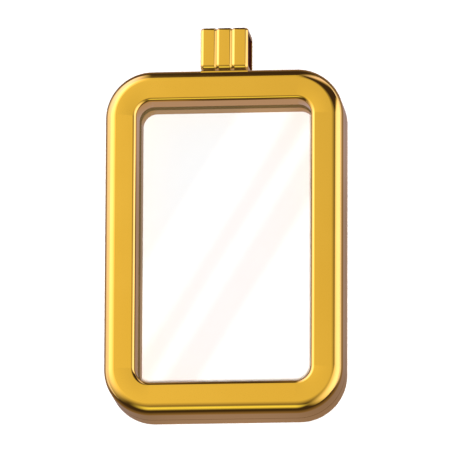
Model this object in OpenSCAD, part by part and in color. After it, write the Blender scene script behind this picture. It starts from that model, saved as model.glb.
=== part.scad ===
// A pendant for a bar or a picture: two half frames with round corners hold a clear pane between
// them, and a ribbed bail stands on the top bar. The pendant lies on its back at z = 0, with +X to
// the right, +Y towards the bail and +Z out of the front face. All sizes are in millimetres.

/* [Frame] */
// Width across the frame
frame_w = 30; // [26:0.5:40]
// Height of the frame, without the bail
frame_h = 44; // [36:0.5:60]
// Thickness of the frame from back to front
frame_d = 7.5; // [7:0.1:9]
// Width of a bar, from the outside to the opening
bar_w = 3.95; // [3.7:0.05:5]
// Radius of the outline's corners
corner_r = 5.9; // [5.5:0.1:9]
// Radius of the rounded outer edge at the front
outer_round_r = 1.4; // [0.6:0.05:1.6]
// Radius of the rounded inner edge at the front
inner_round_r = 0.45; // [0.2:0.05:0.6]
// Radius of the rounded edges at the back
back_round_r = 0.2; // [0.1:0.05:0.3]

/* [Halves] */
// Thickness of the back half
back_half_d = 3; // [2.8:0.1:3.4]
// Chamfer of the front half that opens the seam between the halves
seam_chamfer = 0.1; // [0.05:0.01:0.15]
// Width of the rim on the back half that seats in the front half
tongue_w = 1; // [0.7:0.1:1.2]
// Height of that rim
tongue_h = 0.8; // [0.5:0.1:1]
// Clearance between pieces that fit into each other
clearance = 0.05; // [0.03:0.01:0.08]

/* [Pane] */
// Thickness of the pane
pane_t = 1; // [0.8:0.1:1.8]
// How far the pane reaches into the bars
pane_reach = 0.9; // [0.6:0.05:1.1]
// How far the pane's middle lies in front of the seam
pane_lift = 0.1; // [0:0.05:0.2]

/* [Bail] */
// Number of ribs side by side
rib_count = 3; // [2:1:5]
// Width of one rib
rib_w = 1.92; // [1.5:0.02:2.5]
// Bottom width of the groove between two ribs
groove_w = 0.1; // [0.05:0.01:0.3]
// Depth of the groove between two ribs
groove_d = 0.15; // [0.1:0.05:0.25]
// Height of the bail above the frame
bail_h = 5.4; // [5.3:0.1:8]
// Thickness of the bail from back to front
bail_d = 6; // [5.4:0.1:6.2]
// Thickness of the bail's walls
bail_wall = 0.6; // [0.55:0.05:0.8]
// How far the bail's front lies behind the front of the frame
bail_setback = 0.5; // [0.3:0.05:0.8]
// Radius of the loop's upper front corner
loop_front_r = 0.35; // [0.3:0.05:0.6]
// Radius of the loop's other outer corners
loop_round_r = 0.8; // [0.3:0.05:1]
// Radius of a rib's side edges
rib_round_r = 0.35; // [0.25:0.05:0.4]
// Radius of the passage's corners
passage_round_r = 0.25; // [0.1:0.05:0.4]
// Radius of the post under the bail
post_r = 0.7; // [0.5:0.05:0.8]
// Length of that post
post_l = 1.8; // [1:0.1:2]

/* [Bail seat] */
// How far the ledge's front lies behind the front of the frame
ledge_setback = 0.6; // [0.45:0.05:0.7]
// How far the ledge's top lies below the frame's top
ledge_drop = 0.03; // [0.02:0.01:0.06]
// Radius of the ledge's upper front edge
ledge_round_r = 0.1; // [0.05:0.05:0.15]

/* [Hidden] */
$fn = 96;
over = 1; // how far a cut reaches past what it cuts

bail_w = rib_count * rib_w + (rib_count - 1) * groove_w;
// how far a rib's round would go on below the groove's bottom
rib_flare = rib_round_r - sqrt(pow(rib_round_r, 2) - pow(rib_round_r - groove_d, 2));
total_h = frame_h + clearance + bail_h;
frame_y = (frame_h - total_h) / 2; // the frame's middle, with the whole pendant centred on y = 0
top_y = frame_h / 2;

opening_r = corner_r - bar_w; // the opening's corners share their centres with the outline's
opening_w = frame_w - 2 * bar_w;
opening_h = frame_h - 2 * bar_w;

pane_z = back_half_d + pane_lift; // middle of the pane
slot_back_z = pane_z - pane_t / 2 - clearance;
slot_front_z = pane_z + pane_t / 2 + clearance;
slot_depth = pane_reach + 2 * clearance;
tongue_r = (opening_r + slot_depth + corner_r) / 2; // middle of the rim, from the corner's centre

post_z = (back_half_d + tongue_h + frame_d - outer_round_r) / 2;
ledge_deep = outer_round_r;
ledge_tall = outer_round_r / 2;

// What a round edge of radius r takes off a corner at the origin that points to +x and +y
module round_off(r) {
    difference() {
        translate([-r, -r]) square(r + over);
        translate([-r, -r]) circle(r);
    }
}

// What a chamfer takes off a corner at the origin that points to +x and +y
module bevel_off(c) {
    polygon([[-c, over], [-c, 0], [0, -c], [over, -c], [over, over]]);
}

// A rectangle with round corners, centred on the origin
module round_rect(w, h, r) {
    difference() {
        square([w, h], center = true);
        for (sx = [-1, 1], sy = [-1, 1])
            translate([sx * w / 2, sy * h / 2]) scale([sx, sy]) round_off(r);
    }
}

// A closed ring round a rectangle w by h whose corners have radius r. The child is the bar's
// section, with x measured from a corner's centre and y along +Z.
module ring(w, h, r) {
    for (turn = [0:3]) {
        long = turn % 2 == 0 ? h : w;
        wide = turn % 2 == 0 ? w : h;
        rotate([0, 0, 90 * turn]) {
            translate([wide / 2 - r, 0, 0]) rotate([90, 0, 0])
                linear_extrude(long - 2 * r, center = true) children();
            translate([wide / 2 - r, long / 2 - r, 0]) rotate_extrude(angle = 90) children();
        }
    }
}

// The bar's section before the pane's slot, from z0 to z1
module bar_section(z0, z1) {
    translate([opening_r, z0]) square([bar_w, z1 - z0]);
}

module slot_section() {
    translate([opening_r - over, slot_back_z])
        square([slot_depth + over, slot_front_z - slot_back_z]);
}

module front_section() {
    z0 = back_half_d + clearance / 2;
    difference() {
        bar_section(z0, frame_d);
        translate([corner_r, frame_d]) round_off(outer_round_r);
        translate([opening_r, frame_d]) mirror([1, 0]) round_off(inner_round_r);
        translate([corner_r, z0]) mirror([0, 1]) bevel_off(seam_chamfer);
        slot_section();
        translate([tongue_r - tongue_w / 2 - clearance, z0 - over])
            square([tongue_w + 2 * clearance, over + tongue_h + clearance]);
    }
}

module back_section() {
    z1 = back_half_d - clearance / 2;
    difference() {
        bar_section(0, z1);
        translate([corner_r, 0]) mirror([0, 1]) round_off(back_round_r);
        translate([opening_r, 0]) rotate(180) round_off(back_round_r);
        slot_section();
    }
    translate([tongue_r - tongue_w / 2, z1 - clearance]) square([tongue_w, tongue_h + clearance]);
}

// The narrow ledge at the foot of the bail, in front of the frame's rounded edge
module ledge() {
    translate([-bail_w / 2, top_y - ledge_drop, frame_d - ledge_setback])
        rotate([90, 0, 90]) linear_extrude(bail_w) difference() {
            translate([-ledge_tall, -ledge_deep]) square([ledge_tall, ledge_deep]);
            round_off(ledge_round_r);
        }
}

// A round post or hole that goes down into the frame's top bar
module post(r, l) {
    translate([0, top_y, post_z]) rotate([90, 0, 0]) cylinder(r = r, h = l);
}

module front_frame() {
    color([0.91, 0.71, 0.25]) translate([0, frame_y, 0]) difference() {
        union() {
            ring(frame_w, frame_h, corner_r) front_section();
            ledge();
        }
        translate([0, over, 0]) post(post_r + clearance, over + post_l + 2 * clearance);
    }
}

module back_frame() {
    color([0.88, 0.67, 0.22]) translate([0, frame_y, 0])
        ring(frame_w, frame_h, corner_r) back_section();
}

module window() {
    color([0.93, 0.96, 0.97, 0.4]) translate([0, frame_y, pane_z - pane_t / 2])
        linear_extrude(pane_t)
            round_rect(opening_w + 2 * pane_reach, opening_h + 2 * pane_reach, opening_r + pane_reach);
}

// The loop's outline from the side, with x along +Y and y along +Z, that much inside the ribs' one
module loop_outline(inset) {
    h = bail_h / 2 - inset;
    d = bail_d / 2 - inset;
    difference() {
        square([2 * h, 2 * d], center = true);
        translate([h, d]) round_off(loop_front_r - inset);
        for (side = [[1, -1], [-1, 1], [-1, -1]])
            translate([side.x * h, side.y * d]) scale(side) round_off(loop_round_r - inset);
    }
}

// A rib of width w as a solid block with all its edges round, centred on the origin
module rib_block(w) {
    intersection() {
        rotate([90, 0, 90]) linear_extrude(w, center = true) loop_outline(0);
        linear_extrude(bail_d, center = true) round_rect(w, bail_h, rib_round_r);
        rotate([90, 0, 0]) linear_extrude(bail_h, center = true) round_rect(w, bail_d, rib_round_r);
    }
}

// Rib number i, from the left. Where it has a neighbour, its round ends at the groove's bottom.
module rib(i) {
    left = i > 0 ? rib_flare : 0;
    right = i < rib_count - 1 ? rib_flare : 0;
    translate([(i - (rib_count - 1) / 2) * (rib_w + groove_w) + (right - left) / 2, 0, 0])
        rib_block(rib_w + left + right);
}

module bail() {
    middle = [0, top_y + clearance + bail_h / 2, frame_d - bail_setback - bail_d / 2];
    color([0.91, 0.7, 0.24]) translate([0, frame_y, 0]) {
        translate(middle) difference() {
            union() {
                for (i = [0:rib_count - 1]) rib(i);
                rotate([90, 0, 90]) linear_extrude(bail_w - rib_w, center = true)
                    loop_outline(groove_d);
            }
            rotate([90, 0, 90]) linear_extrude(bail_w + 2 * over, center = true)
                round_rect(bail_h - 2 * bail_wall, bail_d - 2 * bail_wall, passage_round_r);
        }
        translate([0, clearance + bail_wall / 2, 0]) post(post_r, clearance + bail_wall / 2 + post_l);
    }
}

front_frame();
back_frame();
window();
bail();
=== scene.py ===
"""A polished frame pendant with a clear pane and a ribbed bail, lying on its back on a pale floor.

The packed solids are the fixed frame. Each piece is modelled again here with smooth round edges and
its finish. All sizes are in metres, with +X to the right, +Y towards the bail and +Z out of the
front face.
"""

from collections import namedtuple
from math import cos, hypot, pi, radians, sin, tan

import bmesh
import bpy
from bpy.props import FloatProperty, FloatVectorProperty, IntProperty, PointerProperty
from mathutils import Matrix, Vector


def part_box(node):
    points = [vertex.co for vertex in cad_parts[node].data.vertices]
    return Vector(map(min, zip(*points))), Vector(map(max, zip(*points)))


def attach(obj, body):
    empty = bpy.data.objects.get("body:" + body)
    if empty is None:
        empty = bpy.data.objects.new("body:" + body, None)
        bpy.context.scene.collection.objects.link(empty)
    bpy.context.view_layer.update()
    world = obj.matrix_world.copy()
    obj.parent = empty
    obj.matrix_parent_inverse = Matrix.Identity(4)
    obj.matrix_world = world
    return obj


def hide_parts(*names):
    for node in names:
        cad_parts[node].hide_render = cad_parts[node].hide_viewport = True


bl_info = {
    "name": "Frame pendant",
    "version": (1, 0, 0),
    "blender": (4, 5, 0),
    "location": "View3D > Sidebar > Pendant",
    "description": "Models a polished frame pendant with a clear pane and a ribbed bail",
    "category": "Add Mesh",
}

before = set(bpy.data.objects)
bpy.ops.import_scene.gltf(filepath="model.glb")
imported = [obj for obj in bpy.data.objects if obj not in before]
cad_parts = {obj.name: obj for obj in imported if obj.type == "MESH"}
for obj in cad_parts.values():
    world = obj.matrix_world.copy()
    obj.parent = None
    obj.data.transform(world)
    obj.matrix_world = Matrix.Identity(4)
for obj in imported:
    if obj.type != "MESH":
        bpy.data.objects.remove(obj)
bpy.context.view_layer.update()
FRONT_LOW, FRONT_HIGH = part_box("front_frame")
BACK_LOW, BACK_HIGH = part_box("back_frame")
PANE_LOW, PANE_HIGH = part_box("window")
BAIL_LOW, BAIL_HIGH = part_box("bail")

MM = 0.001
TINY = 1e-6  # two points nearer than this are one
NEAR = 10 * TINY  # how far a place may be off the one that is looked for
OVER = 1 * MM  # how far a cutter reaches past what it cuts
X, Y, Z = (Vector(axis) for axis in ((1, 0, 0), (0, 1, 0), (0, 0, 1)))
PARALLEL = 0.999  # two directions with a greater cosine than this are taken as one
FLAT_ANGLE = radians(1)  # faces that meet at less than this angle become one
SMOOTH_ANGLE = radians(35)  # edges whose faces meet at less than this angle look smooth
FACE_WEIGHT = 100  # lets the largest faces decide how their corners are shaded
ROUND_PROFILE = 0.5  # gives a bevel the section of a quarter circle

BODY_W = BACK_HIGH.x - BACK_LOW.x
BODY_H = BACK_HIGH.y - BACK_LOW.y
BODY_MIDDLE = Vector((0, (BACK_LOW.y + BACK_HIGH.y) / 2, 0))
FRONT_MIDDLE = Vector((0, BODY_MIDDLE.y, FRONT_HIGH.z))

# How many faces go round or across each kind of edge
BODY_STEPS = 24  # a corner of the body or the pane
OUTER_STEPS = 16  # the body's outer round
INNER_STEPS = 12  # its inner round
SMALL_STEPS = 6  # its smaller rounds
FINE_STEPS = 3  # the fine step by the pane
LEDGE_STEPS = 5  # the ledge's upper edge
LOOP_STEPS = 12  # a corner of the bail's loop
RIB_STEPS = 4  # an edge of a rib's flat
END_STEPS = 5  # the loop's two ends
PASSAGE_STEPS = 8  # a corner of the passage
ARRIS_STEPS = 2  # the tiny bevels
CHAMFER_STEPS = 1
POST_SIDES = 48


class BodySizes(bpy.types.PropertyGroup):
    """Sizes of the frame's two halves."""

    bar_w: FloatProperty(
        name="Bar width", description="From the outside to the opening", default=4 * MM, unit="LENGTH"
    )
    corner_r: FloatProperty(
        name="Corner radius", description="Radius of the outline's corners", default=5.9 * MM, unit="LENGTH"
    )
    outer_round_r: FloatProperty(
        name="Outer round", description="Radius of the outer front edge", default=1.4 * MM, unit="LENGTH"
    )
    inner_round_r: FloatProperty(
        name="Inner round", description="Radius of the inner front edge", default=0.53 * MM, unit="LENGTH"
    )
    back_round_r: FloatProperty(
        name="Back round", description="Radius of the edges at the back", default=0.2 * MM, unit="LENGTH"
    )
    lip_round_r: FloatProperty(
        name="Lip round", description="Radius of the front's edge by the pane",
        default=0.4 * MM, unit="LENGTH",
    )
    back_step: FloatProperty(
        name="Back step", description="How far the back half reaches inwards",
        default=0.12 * MM, unit="LENGTH",
    )
    step_round_r: FloatProperty(
        name="Step round", description="Radius of that step's edge", default=0.08 * MM, unit="LENGTH"
    )
    seam_chamfer: FloatProperty(
        name="Seam chamfer", description="Chamfer over the seam", default=0.13 * MM, unit="LENGTH"
    )
    clearance: FloatProperty(
        name="Clearance", description="Gap between pieces that fit together",
        default=0.05 * MM, unit="LENGTH",
    )
    rim_w: FloatProperty(
        name="Rim width", description="Width of the rim that seats in the front",
        default=1 * MM, unit="LENGTH",
    )
    ledge_setback: FloatProperty(
        name="Ledge setback", description="From the front to the ledge", default=0.5 * MM, unit="LENGTH"
    )
    ledge_drop: FloatProperty(
        name="Ledge drop", description="From the frame's top to the ledge's", default=0.1 * MM, unit="LENGTH"
    )
    ledge_round_r: FloatProperty(
        name="Ledge round", description="Radius of the ledge's upper edge", default=0.1 * MM, unit="LENGTH"
    )
    pane_arris: FloatProperty(
        name="Pane arris", description="Small bevel of the pane's edges", default=0.08 * MM, unit="LENGTH"
    )


class BailSizes(bpy.types.PropertyGroup):
    """Sizes of the ribbed bail."""

    ribs: IntProperty(name="Ribs", description="Number of ribs side by side", default=3, min=2, max=5)
    groove_w: FloatProperty(
        name="Groove width", description="Width of a groove's bottom", default=0.05 * MM, unit="LENGTH"
    )
    slope: FloatProperty(
        name="Slope", description="Angle of a rib's sloping sides", default=radians(27.5), unit="ROTATION"
    )
    slope_w: FloatProperty(
        name="Slope width", description="Width of those sides", default=0.2 * MM, unit="LENGTH"
    )
    height: FloatProperty(
        name="Height", description="Height of the loop above the frame", default=5.4 * MM, unit="LENGTH"
    )
    wall: FloatProperty(name="Wall", description="Thickness of the walls", default=0.6 * MM, unit="LENGTH")
    loop_front_r: FloatProperty(
        name="Front round", description="Radius of the loop's upper front edge",
        default=0.4 * MM, unit="LENGTH",
    )
    loop_round_r: FloatProperty(
        name="Loop round", description="Radius of the loop's other edges", default=0.7 * MM, unit="LENGTH"
    )
    rib_round_r: FloatProperty(
        name="Rib round", description="Radius at the edges of a rib's flat", default=0.25 * MM, unit="LENGTH"
    )
    end_round_r: FloatProperty(
        name="End round", description="Radius at the loop's two ends", default=0.12 * MM, unit="LENGTH"
    )
    passage_round_r: FloatProperty(
        name="Passage round", description="Radius of the passage's corners", default=0.25 * MM, unit="LENGTH"
    )
    passage_arris: FloatProperty(
        name="Passage arris", description="Small bevel at the passage's ends",
        default=0.05 * MM, unit="LENGTH",
    )
    post_r: FloatProperty(
        name="Post radius", description="Radius of the post under the loop", default=0.7 * MM, unit="LENGTH"
    )


class Finish(bpy.types.PropertyGroup):
    """Colours of the pendant's finishes."""

    gold: FloatVectorProperty(
        name="Gold", description="Colour of the gold", default=(1.0, 0.62, 0.11), subtype="COLOR", size=3
    )
    deep_gold: FloatVectorProperty(
        name="Deep gold", description="Its deeper patches", default=(0.98, 0.6, 0.1), subtype="COLOR", size=3
    )
    # Painted shade: the dark colour the gold is mixed towards in the pane's slot, the seam, the bail's
    # passage and under the bail
    recess: FloatVectorProperty(
        name="Recess", description="Unpolished gold in recesses",
        default=(0.03, 0.004, 0.0005), subtype="COLOR", size=3,
    )
    pane: FloatVectorProperty(
        name="Pane", description="Tint of the clear pane", default=(1.0, 1.0, 1.0), subtype="COLOR", size=3
    )
    # Painted reflections on the pane: its streaks and the hazy band at its upper left
    reflection_streak: FloatVectorProperty(
        name="Streak", description="Tint of its streaks",
        default=(0.89, 0.83, 0.825), subtype="COLOR", size=3,
    )
    reflection_haze: FloatVectorProperty(
        name="Haze", description="Tint of the faint haze at its upper left",
        default=(0.83, 0.85, 0.867), subtype="COLOR", size=3,
    )


class StageSizes(bpy.types.PropertyGroup):
    """How the pendant is lit and seen."""

    view_right: FloatProperty(
        name="View right", description="Camera's angle to the right", default=radians(5.97), unit="ROTATION"
    )
    view_below: FloatProperty(
        name="View below", description="Camera's angle from below", default=radians(12.17), unit="ROTATION"
    )
    view_roll: FloatProperty(
        name="View roll", description="Turn of the picture", default=radians(0.27), unit="ROTATION"
    )
    view_distance: FloatProperty(
        name="View distance", description="From the camera to the front face", default=1.0, unit="LENGTH"
    )
    lens: FloatProperty(name="Lens", description="Focal length in millimetres", default=636.7)
    aim_right: FloatProperty(
        name="Aim right", description="Picture's middle, right of the frame's",
        default=0.385 * MM, unit="LENGTH",
    )
    aim_above: FloatProperty(
        name="Aim above", description="Picture's middle, above the frame's",
        default=1.716 * MM, unit="LENGTH",
    )
    floor_w: FloatProperty(name="Floor", description="Width of the floor", default=4.0, unit="LENGTH")
    floor: FloatVectorProperty(
        name="Floor colour", description="Colour of the floor",
        default=(0.9, 0.9, 0.9), subtype="COLOR", size=3,
    )
    # Painted reflection: tones with which the floor glows only for rays that have met the gold
    mirrored: FloatVectorProperty(
        name="Mirrored floor", description="What the gold shows of the floor near it",
        default=(0.35, 0.26, 0.23), subtype="COLOR", size=3,
    )
    mirrored_high: FloatVectorProperty(
        name="Mirrored floor, high", description="The same in the opening's upper half",
        default=(0.44, 0.34, 0.35), subtype="COLOR", size=3,
    )
    mirrored_far: FloatVectorProperty(
        name="Mirrored floor, far", description="The same far off to the sides",
        default=(0.95, 0.95, 1.9), subtype="COLOR", size=3, max=4.0,
    )
    dark: FloatVectorProperty(
        name="Dark", description="What the gold shows of the unlit room",
        default=(0.045, 0.032, 0.042), subtype="COLOR", size=3,
    )


# Mesh tools


def deselect_all():
    """Leaves edit mode and selects nothing."""
    if bpy.context.object and bpy.context.object.mode != "OBJECT":
        bpy.ops.object.mode_set(mode="OBJECT")
    bpy.ops.object.select_all(action="DESELECT")


def make_active(piece):
    deselect_all()
    piece.select_set(True)
    bpy.context.view_layer.objects.active = piece


def select_parts(piece, kind, wanted):
    """In edit mode, selects the verts, edges or faces of which wanted is true, and nothing else."""
    bpy.ops.mesh.select_mode(type={"verts": "VERT", "edges": "EDGE", "faces": "FACE"}[kind])
    bpy.ops.mesh.select_all(action="DESELECT")
    shape = bmesh.from_edit_mesh(piece.data)
    for part in getattr(shape, kind):
        if wanted(part):
            part.select_set(True)
    shape.select_flush_mode()
    bmesh.update_edit_mesh(piece.data)


def near(a, b):
    return abs(a - b) < NEAR


def add_box(name, low, high):
    """A box from its lowest to its highest corner, left in edit mode."""
    deselect_all()
    bpy.ops.mesh.primitive_cube_add(size=1, location=(Vector(low) + Vector(high)) / 2)
    piece = bpy.context.object
    piece.name = piece.data.name = name
    piece.scale = Vector(high) - Vector(low)
    bpy.ops.object.transform_apply(location=True, rotation=True, scale=True)
    bpy.ops.object.mode_set(mode="EDIT")
    return piece


def bevel(radius, segments, affect):
    """In edit mode, rounds the selected EDGES or VERTICES, or chamfers them with one segment."""
    bpy.ops.mesh.bevel(
        offset=radius, offset_type="OFFSET", segments=segments, profile=ROUND_PROFILE, affect=affect
    )


def round_edges(piece, wanted, radius, segments):
    """In edit mode, rounds the edges of which wanted is true."""
    select_parts(piece, "edges", wanted)
    bevel(radius, segments, "EDGES")


def along(edge, axis):
    """True if the edge runs along the axis, one of X, Y and Z."""
    run = edge.verts[1].co - edge.verts[0].co
    return abs(run.dot(axis)) > PARALLEL * run.length


def extrude(step):
    """In edit mode, extrudes what is selected by that step."""
    bpy.ops.mesh.extrude_region_move(TRANSFORM_OT_translate={"value": step})


def combine(piece, other, operation):
    """Joins the other piece to this one by UNION, or cuts it away by DIFFERENCE, and removes it."""
    make_active(piece)
    bpy.ops.object.modifier_add(type="BOOLEAN")
    modifier = piece.modifiers[-1]
    modifier.operation = operation
    modifier.solver = "EXACT"
    modifier.object = other
    bpy.ops.object.modifier_apply(modifier=modifier.name)
    bpy.data.objects.remove(other)


def section_loop(name, y, low, high, cuts, rounds):
    """A closed outline in the plane of X and Z at that y: a rectangle from low to high, less the
    rectangles in cuts, each (low, high). Each corner in rounds, (x, z, radius, segments), is rounded,
    or chamfered where it has one segment. The outline is left in edit mode, selected."""
    deselect_all()
    middle = ((low[0] + high[0]) / 2, y, (low[1] + high[1]) / 2)
    bpy.ops.mesh.primitive_plane_add(size=1, location=middle, rotation=(pi / 2, 0, 0))
    piece = bpy.context.object
    piece.name = piece.data.name = name
    piece.scale = (high[0] - low[0], high[1] - low[1], 1)
    bpy.ops.object.transform_apply(location=True, rotation=True, scale=True)
    bpy.ops.object.mode_set(mode="EDIT")
    for corner in (corner for cut in cuts for corner in cut):
        for normal, place, start, end in zip((X, Z), corner, low, high):
            if start + TINY < place < end - TINY:
                bpy.ops.mesh.select_all(action="SELECT")
                bpy.ops.mesh.bisect(plane_co=normal * place, plane_no=normal, threshold=TINY)
    for cut_low, cut_high in cuts:
        def in_cut(face, cut_low=cut_low, cut_high=cut_high):
            centre = face.calc_center_median().xz
            return all(a < place < b for a, place, b in zip(cut_low, centre, cut_high))

        select_parts(piece, "faces", in_cut)
        bpy.ops.mesh.delete(type="FACE")
    bpy.ops.mesh.select_all(action="SELECT")
    bpy.ops.mesh.dissolve_limited(angle_limit=FLAT_ANGLE)
    for x, z, radius, segments in rounds:
        corner = Vector((x, y, z))
        select_parts(piece, "verts", lambda v, corner=corner: (v.co - corner).length < NEAR)
        bevel(radius, segments, "VERTICES")
    bpy.ops.mesh.select_all(action="SELECT")
    bpy.ops.mesh.delete(type="ONLY_FACE")
    bpy.ops.mesh.select_all(action="SELECT")
    return piece


def start_line(name, spot):
    """A piece with a single vert, selected in edit mode, which extrude and spin make into a line."""
    deselect_all()
    bpy.ops.mesh.primitive_plane_add(size=1 * MM, location=spot)
    piece = bpy.context.object
    piece.name = piece.data.name = name
    bpy.ops.object.transform_apply(location=True, rotation=True, scale=True)
    bpy.ops.object.mode_set(mode="EDIT")
    bpy.ops.mesh.select_mode(type="VERT")
    bpy.ops.mesh.select_all(action="SELECT")
    bpy.ops.mesh.merge(type="CENTER")
    return piece


def sweep_round(middle, out, turn, out_size, turn_size, radii, steps):
    """Sweeps the selected outline round a rectangle with round corners, and closes it. The outline
    stands on the side that faces out, where the first corner starts to turn from out to turn. The
    radii are those of that corner and of the next ones."""
    axis = out.cross(turn)
    corners = ((1, 1), (-1, 1), (-1, -1), (1, -1))
    runs = (-out, -turn, out, turn)
    lengths = (out_size, turn_size, out_size, turn_size)
    next_radii = (*radii[1:], radii[0])
    for (side, end), run, length, radius, next_radius in zip(corners, runs, lengths, radii, next_radii):
        centre = middle + side * out * (out_size / 2 - radius) + end * turn * (turn_size / 2 - radius)
        bpy.ops.mesh.spin(steps=steps, angle=-pi / 2, center=centre, axis=axis)
        extrude(run * (length - radius - next_radius))
    bpy.ops.mesh.select_all(action="SELECT")
    bpy.ops.mesh.remove_doubles(threshold=TINY)


def turn_outward():
    """In edit mode, turns all faces of the closed shape outwards and leaves edit mode."""
    bpy.ops.mesh.select_all(action="SELECT")
    bpy.ops.mesh.normals_make_consistent(inside=False)
    bpy.ops.object.mode_set(mode="OBJECT")


def complete(piece, node, slot, material, shade=None):
    """Smooths and checks a finished piece, gives it its finish and puts it in its node's place. The function
    shade says how far painted shade darkens the gold at each place, from 0 to 1."""
    make_active(piece)
    bpy.ops.object.shade_smooth_by_angle(angle=SMOOTH_ANGLE)
    bpy.ops.object.modifier_add(type="WEIGHTED_NORMAL")
    modifier = piece.modifiers[-1]
    modifier.keep_sharp = True
    modifier.weight = FACE_WEIGHT
    bpy.ops.object.modifier_apply(modifier=modifier.name)
    shape = bmesh.new()
    shape.from_mesh(piece.data)
    closed = all(edge.is_manifold for edge in shape.edges)
    volume = shape.calc_volume(signed=True)
    shape.free()
    if not closed or volume <= 0:
        raise RuntimeError(f"{piece.name} isn't a closed shape with its faces outwards")
    piece.data.materials.clear()
    piece.data.materials.append(material)
    # Stores the painted shade of each face, which the gold's material reads
    if shade:
        shades = piece.data.attributes.new("recess", "FLOAT", "FACE").data
        for face, stored in zip(piece.data.polygons, shades):
            stored.value = shade(face.center)
    piece.visible_glossy = slot != "polished_gold"
    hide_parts(node)
    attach(piece, "root")


# Finishes


def feed(tree, socket, value):
    """Sets a socket to a value, or links it to an output."""
    if isinstance(value, bpy.types.NodeSocket):
        tree.links.new(value, socket)
    else:
        socket.default_value = value


def add_node(tree, kind, **inputs):
    """Adds a node. An input is given by its name with underscores, as a value or as an output."""
    node = tree.nodes.new(kind)
    for name, value in inputs.items():
        feed(tree, node.inputs[name.replace("_", " ")], value)
    return node


def new_material(name):
    """A material with an empty node tree, and that tree."""
    material = bpy.data.materials.new(name)
    material.use_nodes = True
    material.node_tree.nodes.clear()
    return material, material.node_tree


def noise(tree, place, size, detail):
    """A noise from 0 to 1 whose patches have that size."""
    node = add_node(tree, "ShaderNodeTexNoise", Vector=place, Scale=1 / size, Detail=detail)
    return node.outputs["Fac"]


def between(tree, value, start, end, low, high):
    """Takes the value's range from start to end smoothly to the range from low to high."""
    node = add_node(
        tree, "ShaderNodeMapRange", Value=value, From_Min=start, From_Max=end, To_Min=low, To_Max=high
    )
    node.interpolation_type = "SMOOTHSTEP"
    return node.outputs["Result"]


def mixed(tree, kind, share, a, b):
    """A mix of two values or outputs: FLOAT or RGBA, and how much of the second it holds."""
    node = tree.nodes.new("ShaderNodeMix")
    node.data_type = kind
    sockets = [socket for socket in node.inputs if socket.enabled]
    for socket, value in zip(sockets, (share, a, b)):
        bare_colour = socket.type == "RGBA" and not isinstance(value, bpy.types.NodeSocket)
        feed(tree, socket, (*value, 1) if bare_colour else value)
    return next(socket for socket in node.outputs if socket.enabled)


def calculated(tree, kind, operation, values):
    """The result of a node of that kind that calculates with values or outputs."""
    node = tree.nodes.new(kind)
    node.operation = operation
    for socket, value in zip(node.inputs, values):
        feed(tree, socket, value)
    return next(socket for socket in node.outputs if socket.enabled)


def math_node(tree, operation, *values):
    """The result of a calculation with numbers."""
    return calculated(tree, "ShaderNodeMath", operation, values)


def vector_node(tree, operation, *values):
    """The result of a calculation with vectors."""
    return calculated(tree, "ShaderNodeVectorMath", operation, values)


# The gold's noises: size and detail of each, and the part of its range that is used
PATCHES = (9 * MM, 2.0)
PATCH_RANGE = (0.3, 0.7)
POLISH = (1.5 * MM, 4.0)
POLISH_RANGE = (0.35, 0.65)
MARKS = (0.25 * MM, 3.0)
MARK_SCALE = (1.0, 0.12, 1.0)  # stretches the polishing marks along Y
MARK_STRENGTH = 0.02
MARK_DEPTH = 0.01 * MM

ROUGHNESS = (0.05, 0.08)  # lowest and highest of the polished gold
METAL_END = (0.8, 0.84)  # painted shades between which the gold stops looking like metal
RECESS_SPECULAR = 0.2  # weakens the sheen where painted shade dulls the gold, and leaves the metal as it is


def polished_gold():
    """Mirror-bright gold, with the slight patches and fine polishing marks that it has close up, and painted
    shade deep in its recesses, where it turns dull and dark."""
    if "Polished gold" in bpy.data.materials:
        return bpy.data.materials["Polished gold"]
    finish = bpy.context.scene.pendant_finish
    material, tree = new_material("Polished gold")
    place = tree.nodes.new("ShaderNodeTexCoord").outputs["Object"]
    # Painted shade: how far each face is darkened, dulled and stripped of its metal
    recess = tree.nodes.new("ShaderNodeAttribute")
    recess.attribute_name = "recess"
    patches = between(tree, noise(tree, place, *PATCHES), *PATCH_RANGE, 0, 1)
    gold = mixed(tree, "RGBA", patches, finish.gold, finish.deep_gold)
    polish = between(tree, noise(tree, place, *POLISH), *POLISH_RANGE, *ROUGHNESS)
    stretched = add_node(tree, "ShaderNodeMapping", Vector=place, Scale=MARK_SCALE)
    marks = noise(tree, stretched.outputs["Vector"], *MARKS)
    bump = add_node(tree, "ShaderNodeBump", Height=marks, Strength=MARK_STRENGTH, Distance=MARK_DEPTH)
    shader = add_node(
        tree,
        "ShaderNodeBsdfPrincipled",
        Base_Color=mixed(tree, "RGBA", recess.outputs["Fac"], gold, finish.recess),
        Metallic=between(tree, recess.outputs["Fac"], *METAL_END, 1.0, 0.0),
        Roughness=mixed(tree, "FLOAT", recess.outputs["Fac"], polish, 1.0),
        Specular_IOR_Level=RECESS_SPECULAR,
        Normal=bump.outputs["Normal"],
    )
    add_node(tree, "ShaderNodeOutputMaterial", Surface=shader.outputs["BSDF"])
    return material


# Painted reflections on the pane. Starts and ends are measured across the streaks, towards the upper left,
# from the origin
STREAK_SLOPE = -58.5  # degrees that turn the streaks' direction onto X
REFLECTION_STREAKS = ((-7.5 * MM, -3.4 * MM), (-2.1 * MM, 0.7 * MM))
REFLECTION_HAZE = (6 * MM, 30 * MM)
STREAK_FADE = 1.1 * MM  # half the width over which each start and end fades
GLASS_IOR = 1.46


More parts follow.
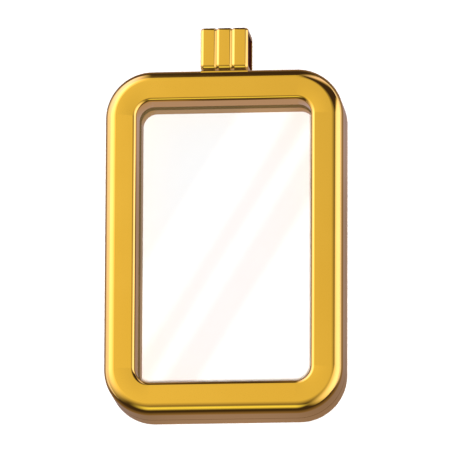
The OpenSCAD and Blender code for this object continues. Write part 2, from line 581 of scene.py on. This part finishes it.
def clear_glass():
    """Clear glass with two broad, very faint painted reflections in streaks that rise to the right, and a
    hazy painted reflection above them.
    """
    finish = bpy.context.scene.pendant_finish
    material, tree = new_material("Clear glass")
    place = tree.nodes.new("ShaderNodeTexCoord").outputs["Object"]
    across = add_node(tree, "ShaderNodeMapping", Vector=place, Rotation=(0, 0, radians(STREAK_SLOPE)))
    split = add_node(tree, "ShaderNodeSeparateXYZ", Vector=across.outputs["Vector"])
    bands = [(reflection_streak, finish.reflection_streak) for reflection_streak in REFLECTION_STREAKS] + [(REFLECTION_HAZE, finish.reflection_haze)]
    colour = finish.pane
    for (start, end), tint in bands:
        rising = between(tree, split.outputs["Y"], start - STREAK_FADE, start + STREAK_FADE, 0, 1)
        falling = between(tree, split.outputs["Y"], end - STREAK_FADE, end + STREAK_FADE, 1, 0)
        colour = mixed(tree, "RGBA", math_node(tree, "MULTIPLY", rising, falling), colour, tint)
    shader = add_node(
        tree,
        "ShaderNodeBsdfPrincipled",
        Base_Color=colour,
        Roughness=0.0,
        IOR=GLASS_IOR,
        Transmission_Weight=1.0,
    )
    add_node(tree, "ShaderNodeOutputMaterial", Surface=shader.outputs["BSDF"])
    return material


# Pieces


SLOT_SHADE = 0.92  # how far painted shade darkens the gold in the pane's slot
SEAM_SHADE = 0.94  # how far painted shade darkens it in the seam
UNDERSIDE_SHADE = 0.92  # how far painted shade darkens it under the bail
UNDERSIDE_H = 0.1 * MM  # height over which that begins


def body_half(name, opening_r, low_z, high_z, cuts, rounds):
    """One half of the body: its bar's section swept round the outline. The opening's radius and the
    first places in cuts and rounds are measured from the middle of a corner's round."""
    sizes = bpy.context.scene.pendant_body
    centre = BODY_W / 2 - sizes.corner_r
    piece = section_loop(
        name,
        BODY_MIDDLE.y + BODY_H / 2 - sizes.corner_r,
        (centre + opening_r, low_z),
        (centre + sizes.corner_r, high_z),
        [((centre + a[0], a[1]), (centre + b[0], b[1])) for a, b in cuts],
        [(centre + x, z, radius, segments) for x, z, radius, segments in rounds],
    )
    sweep_round(BODY_MIDDLE, X, Y, BODY_W, BODY_H, (sizes.corner_r,) * 4, BODY_STEPS)
    turn_outward()
    return piece


def slot_places():
    """The pane's slot in a bar's section: its depth's place, its lowest and its highest z."""
    sizes = bpy.context.scene.pendant_body
    slot_x = PANE_HIGH.x + sizes.clearance - (BODY_W / 2 - sizes.corner_r)
    return slot_x, PANE_LOW.z - sizes.clearance, PANE_HIGH.z + sizes.clearance


def body_shade(spot):
    """How far painted shade darkens the body at a place: in the pane's slot, and in the seam outside it."""
    sizes = bpy.context.scene.pendant_body
    slot_x, slot_low, slot_high = slot_places()
    from_middle = spot - BODY_MIDDLE
    past_x = max(abs(from_middle.x) - (BODY_W / 2 - sizes.corner_r), 0)
    past_y = max(abs(from_middle.y) - (BODY_H / 2 - sizes.corner_r), 0)
    outward = hypot(past_x, past_y)
    opening_r = sizes.corner_r - sizes.bar_w - sizes.back_step
    if not slot_low - sizes.step_round_r < spot.z < slot_high + sizes.lip_round_r:
        return 0
    if opening_r + TINY < outward < slot_x + TINY:
        return SLOT_SHADE
    return SEAM_SHADE if slot_x < outward < sizes.corner_r - sizes.seam_chamfer else 0


def add_post(radius, low, high):
    """A round post, or the hole for it, in the body's top bar between two places along Y."""
    deselect_all()
    rim_z = BACK_HIGH.z + bpy.context.scene.pendant_body.clearance / 2
    round_z = FRONT_HIGH.z - bpy.context.scene.pendant_body.outer_round_r
    bpy.ops.mesh.primitive_cylinder_add(
        vertices=POST_SIDES,
        radius=radius,
        depth=high - low,
        location=(0, (low + high) / 2, (rim_z + round_z) / 2),
        rotation=(pi / 2, 0, 0),
    )
    return bpy.context.object


def make_front_half():
    sizes = bpy.context.scene.pendant_body
    opening_r = sizes.corner_r - sizes.bar_w
    low, high = FRONT_LOW.z, FRONT_HIGH.z
    slot_x, _, slot_z = slot_places()
    rim_x = (slot_x + sizes.corner_r) / 2
    channel = sizes.rim_w / 2 + sizes.clearance
    piece = body_half(
        "front_half",
        opening_r,
        low,
        high,
        [
            ((opening_r - OVER, low - OVER), (slot_x, slot_z)),
            ((rim_x - channel, low - OVER), (rim_x + channel, BACK_HIGH.z + 2 * sizes.clearance)),
        ],
        [
            (sizes.corner_r, high, sizes.outer_round_r, OUTER_STEPS),
            (opening_r, high, sizes.inner_round_r, INNER_STEPS),
            (opening_r, slot_z, sizes.lip_round_r, SMALL_STEPS),
            (sizes.corner_r, low, sizes.seam_chamfer, CHAMFER_STEPS),
        ],
    )
    # Cuts the long faces on both sides of the ledge, so that it only changes the ones between
    half_w = BAIL_HIGH.x
    make_active(piece)
    bpy.ops.object.mode_set(mode="EDIT")
    for side in (-1, 1):
        bpy.ops.mesh.select_all(action="SELECT")
        bpy.ops.mesh.bisect(plane_co=X * side * (half_w + sizes.ledge_setback), plane_no=X, threshold=TINY)
    top, front = FRONT_HIGH.y - sizes.ledge_drop, high - sizes.ledge_setback
    ledge = add_box(
        "ledge", (-half_w, top - sizes.outer_round_r, front - sizes.outer_round_r / 2), (half_w, top, front)
    )
    round_edges(
        ledge,
        lambda e: along(e, X) and all(near(v.co.y, top) and near(v.co.z, front) for v in e.verts),
        sizes.ledge_round_r,
        LEDGE_STEPS,
    )
    bpy.ops.object.mode_set(mode="OBJECT")
    combine(piece, ledge, "UNION")
    hole_r = bpy.context.scene.pendant_bail.post_r + sizes.clearance
    hole = add_post(hole_r, BAIL_LOW.y - sizes.clearance, FRONT_HIGH.y + OVER)
    combine(piece, hole, "DIFFERENCE")
    complete(piece, "front_frame", "polished_gold", polished_gold(), body_shade)


def make_back_half():
    sizes = bpy.context.scene.pendant_body
    opening_r = sizes.corner_r - sizes.bar_w - sizes.back_step
    seam = FRONT_LOW.z - sizes.clearance
    rim_top = BACK_HIGH.z
    slot_x, slot_z, _ = slot_places()
    rim_x = (slot_x + sizes.corner_r) / 2
    piece = body_half(
        "back_half",
        opening_r,
        BACK_LOW.z,
        rim_top,
        [
            ((opening_r - OVER, slot_z), (slot_x, rim_top + OVER)),
            ((opening_r - OVER, seam), (rim_x - sizes.rim_w / 2, rim_top + OVER)),
            ((rim_x + sizes.rim_w / 2, seam), (sizes.corner_r + OVER, rim_top + OVER)),
        ],
        [
            (sizes.corner_r, BACK_LOW.z, sizes.back_round_r, SMALL_STEPS),
            (opening_r, BACK_LOW.z, sizes.back_round_r, SMALL_STEPS),
            (opening_r, slot_z, sizes.step_round_r, FINE_STEPS),
        ],
    )
    complete(piece, "back_frame", "polished_gold", polished_gold(), body_shade)


def make_pane():
    sizes = bpy.context.scene.pendant_body
    opening_w = BODY_W - 2 * sizes.bar_w
    reach = PANE_HIGH.x - opening_w / 2
    piece = add_box("clear_pane_piece", PANE_LOW, PANE_HIGH)
    round_edges(piece, lambda e: along(e, Z), sizes.corner_r - sizes.bar_w + reach, BODY_STEPS)
    round_edges(piece, lambda e: near(e.verts[0].co.z, e.verts[1].co.z), sizes.pane_arris, ARRIS_STEPS)
    turn_outward()
    complete(piece, "window", "clear_pane", clear_glass())
    piece.visible_shadow = False
    piece.visible_glossy = False


def draw_ribs():
    """The bail as a line across its ribs from left to right, selected in edit mode. The line runs
    along the loop's top, where the upper front corner starts to turn."""
    sizes = bpy.context.scene.pendant_bail
    half_w, top = BAIL_HIGH.x, BAIL_HIGH.y
    line_z = BAIL_HIGH.z - sizes.loop_front_r
    slope, radius, end_r = sizes.slope, sizes.rib_round_r, sizes.end_round_r
    slope_h = sizes.slope_w * tan(slope)
    end_in = end_r * (1 - sin(slope))
    end_y = top - radius * (1 - cos(slope)) - slope_h - end_r * cos(slope)
    rounds_w = radius * sin(slope) + sizes.slope_w
    groove_count = sizes.ribs - 1
    flats_w = 2 * (half_w - end_in - sizes.ribs * rounds_w) - groove_count * sizes.groove_w
    flat_w = flats_w / sizes.ribs

    def turn_round(x, y, angle, steps):
        bpy.ops.mesh.spin(steps=steps, angle=angle, center=(x, y, line_z), axis=Z)

    piece = start_line("ribbed_bail", (-half_w, end_y, line_z))
    turn_round(end_r - half_w, end_y, pi / 2 - slope, END_STEPS)
    at = end_in - half_w
    for i in range(sizes.ribs):
        extrude((sizes.slope_w, slope_h, 0))
        at += rounds_w
        turn_round(at, top - radius, slope, RIB_STEPS)
        extrude(X * flat_w)
        at += flat_w
        turn_round(at, top - radius, slope, RIB_STEPS)
        extrude((sizes.slope_w, -slope_h, 0))
        at += rounds_w
        if i < groove_count:
            extrude(X * sizes.groove_w)
            at += sizes.groove_w
    turn_round(half_w - end_r, end_y, pi / 2 - slope, END_STEPS)
    bpy.ops.mesh.select_all(action="SELECT")
    return piece


def make_bail():
    sizes = bpy.context.scene.pendant_bail
    half_w, top = BAIL_HIGH.x, BAIL_HIGH.y
    foot = top - sizes.height
    middle = Vector((0, top - sizes.height / 2, (BAIL_LOW.z + BAIL_HIGH.z) / 2))
    depth = BAIL_HIGH.z - BAIL_LOW.z
    piece = draw_ribs()
    radii = (sizes.loop_front_r, *(sizes.loop_round_r,) * 3)
    sweep_round(middle, Y, Z, sizes.height, depth, radii, LOOP_STEPS)
    for side in (-1, 1):
        select_parts(piece, "edges", lambda e, side=side: e.is_boundary and e.verts[0].co.x * side > 0)
        bpy.ops.mesh.edge_face_add()
    turn_outward()
    passage = Vector((half_w + OVER, sizes.height / 2 - sizes.wall, depth / 2 - sizes.wall))
    cutter = add_box("passage", middle - passage, middle + passage)
    round_edges(cutter, lambda e: along(e, X), sizes.passage_round_r, PASSAGE_STEPS)
    turn_outward()
    combine(piece, cutter, "DIFFERENCE")
    combine(piece, add_post(sizes.post_r, BAIL_LOW.y, foot + sizes.wall / 2), "UNION")
    make_active(piece)
    bpy.ops.object.mode_set(mode="EDIT")

    def in_passage(spot):
        return abs(spot.y - middle.y) < passage.y + TINY and abs(spot.z - middle.z) < passage.z + TINY

    def at_passage_end(edge):
        return all(in_passage(v.co) and near(abs(v.co.x), half_w) for v in edge.verts)

    round_edges(piece, at_passage_end, sizes.passage_arris, ARRIS_STEPS)
    turn_outward()

    # Painted shade: full inside the passage, and growing towards the bail's underside
    def shade(spot):
        if in_passage(spot) and abs(spot.x) < half_w - TINY:
            return 1
        return UNDERSIDE_SHADE * min(max((foot + UNDERSIDE_H - spot.y) / UNDERSIDE_H, 0), 1)

    complete(piece, "bail", "polished_gold", polished_gold(), shade)


# Stage


Softbox = namedtuple("Softbox", "name azimuth tilt turn distance wide tall soft glow change green blue")
SOFTBOXES = (
    # Angles are in degrees: azimuth from +X towards +Y, tilt from +Z, and turn round its own middle
    # line. Soft is the share of the width or height over which the glow fades at the left, right,
    # bottom and top, and change how much the glow grows from left to right. Green and blue are the
    # light's colour, next to a red of 1.
    Softbox("left", 160, 71, -31, 0.6, 2.0, 2.1, (0.3, 0.68, 0.17, 0.56), 1.55, 0.4, 0.94, 2.5),
    Softbox("right", 343, 79, 26.5, 0.6, 1.5, 2.4, (0.6, 0.15, 0.35, 0.5), 1.7, -0.5, 0.96, 1.65),
    Softbox("overhead", 131, 38, 144, 0.7, 0.67, 0.5, (0.4, 0.13, 0.6, 0.12), 0.57, 0.0, 0.92, 0.45),
    Softbox("lower", 256, 54.5, -23.5, 0.6, 0.62, 0.53, (0.9, 0.9, 0.61, 0.4), 2.9, 1.19, 1.05, 0.39),
    Softbox("behind", 58, 97, -25, 0.6, 0.35, 2.4, (0.58, 0.53, 0.6, 0.37), 1.08, -0.44, 0.92, 2.5),
    Softbox("ceiling", 201, 15, 61, 0.7, 1.9, 1.17, (0.01, 0.5, 0.78, 0.41), 0.84, 0.5, 0.92, 0.5),
)
EDGE_BLUE = 0.53  # its blue where the glow fades
FILL_STRENGTH = 3.6
FILL_ANGLE = radians(3)  # angle that the lamp beside the camera takes up in the sky

ROOM_LIGHT = 0.25  # share of its brightness with which the room lights the floor
FLOOR_GAP = 0.02 * MM  # from the pendant's back down to the floor
FLOOR_ROUGHNESS = 0.8

# What the gold shows of the floor, a painted reflection with which the floor glows. The near tone rises
# inside the body's outline, halves again and again outside it, and gives way to the far tone at both sides.
CORE = Vector((2 * MM, 9 * MM, 0))  # half the size of the middle that distances are measured from
NEAR_RISE = (-12 * MM, -6.5 * MM)  # distances from the outline between which the near tone rises
HALVING = 9 * MM  # distance over which it halves
HIGH_RISE = (0, 16 * MM)  # places along Y between which its high tone takes over
FAR_RISE = (19 * MM, 37 * MM)  # distances to the side between which the far tone rises
FAR_Y = 22 * MM  # how far up or down along Y those distances start to grow
FAR_GROWTH_BELOW = 1.5  # by how much for each step down
FAR_GROWTH_ABOVE = 0.25  # and for each step up

SENSOR_W = 36  # millimetres
CLIP_START = 0.01
CLIP_END = 20


def facing(side, axis):
    """The turn that puts a lamp's or camera's X axis along side and its Z axis along axis."""
    return Matrix((side, axis.cross(side), axis)).transposed().to_euler()


def place_in_scene(data):
    """Puts a lamp or a camera into the scene, as an object of the same name."""
    placed = bpy.data.objects.new(data.name, data)
    bpy.context.scene.collection.objects.link(placed)
    return placed


def make_softbox(box):
    """A rectangular lamp with soft edges that faces the frame. Only the gold's reflections see it."""
    azimuth, tilt, turn = radians(box.azimuth), radians(box.tilt), radians(box.turn)
    toward = Vector((sin(tilt) * cos(azimuth), sin(tilt) * sin(azimuth), cos(tilt)))
    level = Z.cross(toward).normalized()
    rise = toward.cross(level)
    side = cos(turn) * level + sin(turn) * rise
    lamp = bpy.data.lights.new(box.name, "AREA")
    lamp.shape = "RECTANGLE"
    lamp.size, lamp.size_y = box.wide, box.tall
    lamp.energy = box.glow * pi * box.wide * box.tall
    lamp.use_nodes = True
    tree = lamp.node_tree
    tree.nodes.clear()
    place = tree.nodes.new("ShaderNodeNewGeometry").outputs["Parametric"]
    split = add_node(tree, "ShaderNodeSeparateXYZ", Vector=place)
    fade = None
    for axis, (low, high) in (("X", box.soft[:2]), ("Y", box.soft[2:])):
        for start, end in ((0, low), (1, 1 - high)):
            edge = between(tree, split.outputs[axis], start, end, 0, 1)
            fade = edge if fade is None else math_node(tree, "MULTIPLY", fade, edge)
    colour = mixed(tree, "RGBA", fade, (1, box.green, EDGE_BLUE), (1, box.green, box.blue))
    growth = math_node(tree, "MULTIPLY_ADD", split.outputs["X"], box.change, 1 - box.change / 2)
    strength = math_node(tree, "MULTIPLY", fade, growth)
    emission = add_node(tree, "ShaderNodeEmission", Color=colour, Strength=strength)
    add_node(tree, "ShaderNodeOutputLight", Surface=emission.outputs["Emission"])
    light = place_in_scene(lamp)
    light.location = FRONT_MIDDLE + toward * box.distance
    light.rotation_euler = facing(side, toward)
    light.visible_camera = False
    light.visible_diffuse = False
    light.visible_transmission = False


def mirrored(tree):
    """1 for a ray that has met the gold before, and 0 for others."""
    path = tree.nodes.new("ShaderNodeLightPath")
    return math_node(tree, "GREATER_THAN", path.outputs["Glossy Depth"], 0)


def floor_material():
    """Pale and matt. For rays from the gold it glows instead with a painted reflection: dim and warm near
    the pendant and dark further off, as painted shade, and bright far off to the sides."""
    stage = bpy.context.scene.pendant_stage
    material, tree = new_material("Pale floor")
    place = tree.nodes.new("ShaderNodeTexCoord").outputs["Object"]
    along_y = add_node(tree, "ShaderNodeSeparateXYZ", Vector=place).outputs["Y"]
    centred = vector_node(tree, "SUBTRACT", place, BODY_MIDDLE)
    past = vector_node(tree, "SUBTRACT", vector_node(tree, "ABSOLUTE", centred), CORE)
    distance = vector_node(tree, "LENGTH", vector_node(tree, "MAXIMUM", past, (0, 0, 0)))
    from_outline = math_node(tree, "SUBTRACT", distance, BODY_W / 2 - CORE.x)
    risen = between(tree, from_outline, *NEAR_RISE, 0, 1)
    halvings = math_node(tree, "DIVIDE", math_node(tree, "MAXIMUM", from_outline, 0), HALVING)
    near_share = math_node(tree, "MULTIPLY", math_node(tree, "POWER", 0.5, halvings), risen)
    below = math_node(tree, "MAXIMUM", math_node(tree, "SUBTRACT", -FAR_Y, along_y), 0)
    above = math_node(tree, "MAXIMUM", math_node(tree, "SUBTRACT", along_y, FAR_Y), 0)
    growth = math_node(tree, "MULTIPLY", above, FAR_GROWTH_ABOVE)
    growth = math_node(tree, "MULTIPLY_ADD", below, FAR_GROWTH_BELOW, growth)
    sideways = add_node(tree, "ShaderNodeSeparateXYZ", Vector=past).outputs["X"]
    far_share = between(tree, math_node(tree, "SUBTRACT", sideways, growth), *FAR_RISE, 0, 1)
    high_share = between(tree, along_y, *HIGH_RISE, 0, 1)
    near_tone = mixed(tree, "RGBA", high_share, stage.mirrored, stage.mirrored_high)
    tone = mixed(tree, "RGBA", near_share, stage.dark, near_tone)
    tone = mixed(tree, "RGBA", far_share, tone, stage.mirrored_far)
    # Painted reflection: the glow that rays from the gold see in place of the matt floor
    shown = add_node(tree, "ShaderNodeEmission", Color=tone, Strength=1.0)
    matt = add_node(
        tree, "ShaderNodeBsdfPrincipled", Base_Color=(*stage.floor, 1), Roughness=FLOOR_ROUGHNESS
    )
    mix = add_node(tree, "ShaderNodeMixShader", Fac=mirrored(tree))
    tree.links.new(matt.outputs["BSDF"], mix.inputs[1])
    tree.links.new(shown.outputs["Emission"], mix.inputs[2])
    add_node(tree, "ShaderNodeOutputMaterial", Surface=mix.outputs["Shader"])
    material.cycles.emission_sampling = "NONE"
    return material


def make_world():
    """A pale room, which the gold shows dark and which lights the floor only weakly."""
    world = bpy.data.worlds.new("Studio")
    bpy.context.scene.world = world
    world.use_nodes = True
    tree = world.node_tree
    tree.nodes.clear()
    in_gold = mirrored(tree)
    colour = mixed(tree, "RGBA", in_gold, (1, 1, 1), bpy.context.scene.pendant_stage.dark)
    seen = tree.nodes.new("ShaderNodeLightPath").outputs["Is Camera Ray"]
    strength = math_node(tree, "MAXIMUM", math_node(tree, "MAXIMUM", seen, in_gold), ROOM_LIGHT)
    background = add_node(tree, "ShaderNodeBackground", Color=colour, Strength=strength)
    add_node(tree, "ShaderNodeOutputWorld", Surface=background.outputs["Background"])


def make_camera():
    """Makes the camera, and returns the direction from the front face to it."""
    stage = bpy.context.scene.pendant_stage
    right, below, roll = stage.view_right, stage.view_below, stage.view_roll
    back = Vector((sin(right) * cos(below), -sin(below), cos(right) * cos(below)))
    level_right = Y.cross(back).normalized()
    level_up = back.cross(level_right)
    picture_right = cos(roll) * level_right + sin(roll) * level_up
    picture_up = cos(roll) * level_up - sin(roll) * level_right
    aim = FRONT_MIDDLE + stage.aim_right * picture_right + stage.aim_above * picture_up
    data = bpy.data.cameras.new("Camera")
    data.lens = stage.lens
    data.sensor_width = SENSOR_W
    data.clip_start, data.clip_end = CLIP_START, CLIP_END
    camera = place_in_scene(data)
    camera.location = FRONT_MIDDLE + stage.view_distance * back
    axis = (camera.location - aim).normalized()
    camera.rotation_euler = facing(picture_up.cross(axis).normalized(), axis)
    bpy.context.scene.camera = camera
    return back


def make_stage():
    stage = bpy.context.scene.pendant_stage
    deselect_all()
    bpy.ops.mesh.primitive_plane_add(size=stage.floor_w, location=(0, 0, -FLOOR_GAP))
    floor = bpy.context.object
    floor.name = "floor"
    floor.data.materials.append(floor_material())
    make_world()
    back = make_camera()
    for box in SOFTBOXES:
        make_softbox(box)
    lamp = bpy.data.lights.new("fill", "SUN")
    lamp.energy = FILL_STRENGTH
    lamp.angle = FILL_ANGLE
    fill = place_in_scene(lamp)
    fill.rotation_euler = back.to_track_quat("Z", "Y").to_euler()
    fill.visible_glossy = False
    fill.visible_transmission = False
    bpy.context.scene.view_settings.view_transform = "Standard"


# Operators


class PENDANT_OT_front_half(bpy.types.Operator):
    """Models the front half of the frame, with the ledge under the bail"""

    bl_idname = "pendant.front_half"
    bl_label = "Front half"

    def execute(self, context):
        make_front_half()
        return {"FINISHED"}


class PENDANT_OT_back_half(bpy.types.Operator):
    """Models the back half of the frame, with the rim that seats in the front half"""

    bl_idname = "pendant.back_half"
    bl_label = "Back half"

    def execute(self, context):
        make_back_half()
        return {"FINISHED"}


class PENDANT_OT_pane(bpy.types.Operator):
    """Models the clear pane between the two halves"""

    bl_idname = "pendant.pane"
    bl_label = "Pane"

    def execute(self, context):
        make_pane()
        return {"FINISHED"}


class PENDANT_OT_bail(bpy.types.Operator):
    """Models the ribbed bail on its post"""

    bl_idname = "pendant.bail"
    bl_label = "Bail"

    def execute(self, context):
        make_bail()
        return {"FINISHED"}


class PENDANT_OT_stage(bpy.types.Operator):
    """Sets up the floor, the lights, the room and the camera"""

    bl_idname = "pendant.stage"
    bl_label = "Stage"

    def execute(self, context):
        make_stage()
        return {"FINISHED"}


OPERATORS = (
    PENDANT_OT_front_half,
    PENDANT_OT_back_half,
    PENDANT_OT_pane,
    PENDANT_OT_bail,
    PENDANT_OT_stage,
)
GROUPS = {
    "pendant_body": BodySizes,
    "pendant_bail": BailSizes,
    "pendant_finish": Finish,
    "pendant_stage": StageSizes,
}


class PENDANT_PT_sidebar(bpy.types.Panel):
    """The pendant's steps and settings"""

    bl_label = "Frame pendant"
    bl_idname = "PENDANT_PT_sidebar"
    bl_space_type = "VIEW_3D"
    bl_region_type = "UI"
    bl_category = "Pendant"

    def draw(self, context):
        for kind in OPERATORS:
            self.layout.operator(kind.bl_idname)
        for name, group in GROUPS.items():
            box = self.layout.box()
            box.label(text=group.__doc__)
            for setting in group.__annotations__:
                box.prop(getattr(context.scene, name), setting)


CLASSES = (*GROUPS.values(), *OPERATORS, PENDANT_PT_sidebar)


def register():
    for kind in CLASSES:
        bpy.utils.register_class(kind)
    for name, group in GROUPS.items():
        setattr(bpy.types.Scene, name, PointerProperty(type=group))


def unregister():
    for name in GROUPS:
        delattr(bpy.types.Scene, name)
    for kind in reversed(CLASSES):
        bpy.utils.unregister_class(kind)


def main():
    register()
    bpy.ops.pendant.front_half()
    bpy.ops.pendant.back_half()
    bpy.ops.pendant.pane()
    bpy.ops.pendant.bail()
    bpy.ops.pendant.stage()


if __name__ == "__main__":
    main()
